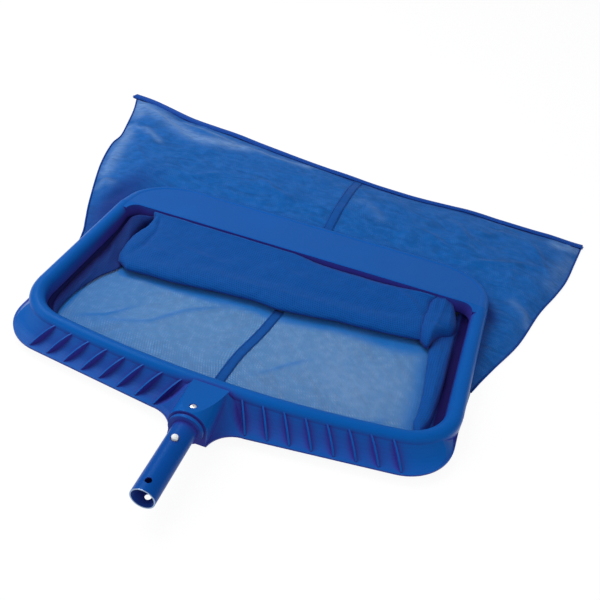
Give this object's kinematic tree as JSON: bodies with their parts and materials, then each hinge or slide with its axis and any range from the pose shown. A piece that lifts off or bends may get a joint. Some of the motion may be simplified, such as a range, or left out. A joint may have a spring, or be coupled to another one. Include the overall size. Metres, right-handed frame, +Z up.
{
  "type": "leaf skimmer net",
  "caption": "Pool leaf rake: a moulded frame with a flat scoop lip and a ribbed apron, a pole tube with push buttons, and a deep net bag spread out behind it.",
  "frame": {"origin": "on the ground, under the middle of the frame's opening", "axes": "+X along the frame to its right, +Y from the handle to the scoop lip, +Z up out of the opening"},
  "size_m": [0.884, 0.8762, 0.0555],
  "materials": {
    "frame_plastic": "moulded, satin gloss",
    "retainer_plastic": "moulded",
    "collar_plastic": "moulded, satin gloss",
    "bead_cord": "braided cord",
    "skirt_nylon": "coated plain-weave nylon",
    "bag_mesh": "knitted polyester mesh",
    "seam_tape": "woven tape",
    "hem_tape": "folded woven binding",
    "tube_blue": "satin blue anodised",
    "rivet_alloy": "bright",
    "rivet_steel": "plain",
    "spring_steel": "spring temper",
    "button_plastic": "natural white"
  },
  "bodies": {
    "net": {"frame": "frame_plastic", "retainer_far": "retainer_plastic", "retainer_left": "retainer_plastic", "retainer_right": "retainer_plastic", "retainer_near_left": "retainer_plastic", "retainer_near_right": "retainer_plastic", "bead_cord": "bead_cord", "skirt_far": "skirt_nylon", "skirt_left": "skirt_nylon", "skirt_right": "skirt_nylon", "skirt_near": "skirt_nylon", "mesh_bottom": "bag_mesh", "mesh_top": "bag_mesh", "tape_bottom": "seam_tape", "tape_top": "seam_tape", "hem_binding": "hem_tape", "handle_tube": "tube_blue", "socket_collar": "collar_plastic", "rivet_body": "rivet_alloy", "rivet_mandrel": "rivet_steel", "spring_bend": "spring_steel"},
    "upper_clip": {"upper_leg": "spring_steel", "upper_button": "button_plastic"},
    "lower_clip": {"lower_leg": "spring_steel", "lower_button": "button_plastic"}
  },
  "joints": [
    {"name": "upper_button_press", "type": "hinge", "parent": "net", "child": "upper_clip", "pos_m": [0, -0.2707, 0.04409], "axis": [1, 0, 0], "range_deg": [0, 8.5], "stiffness_Nm_per_rad": 2.7},
    {"name": "lower_button_press", "type": "hinge", "parent": "net", "child": "lower_clip", "pos_m": [0, -0.2707, 0.02091], "axis": [-1, 0, 0], "range_deg": [0, 8.5], "stiffness_Nm_per_rad": 2.7}
  ]
}
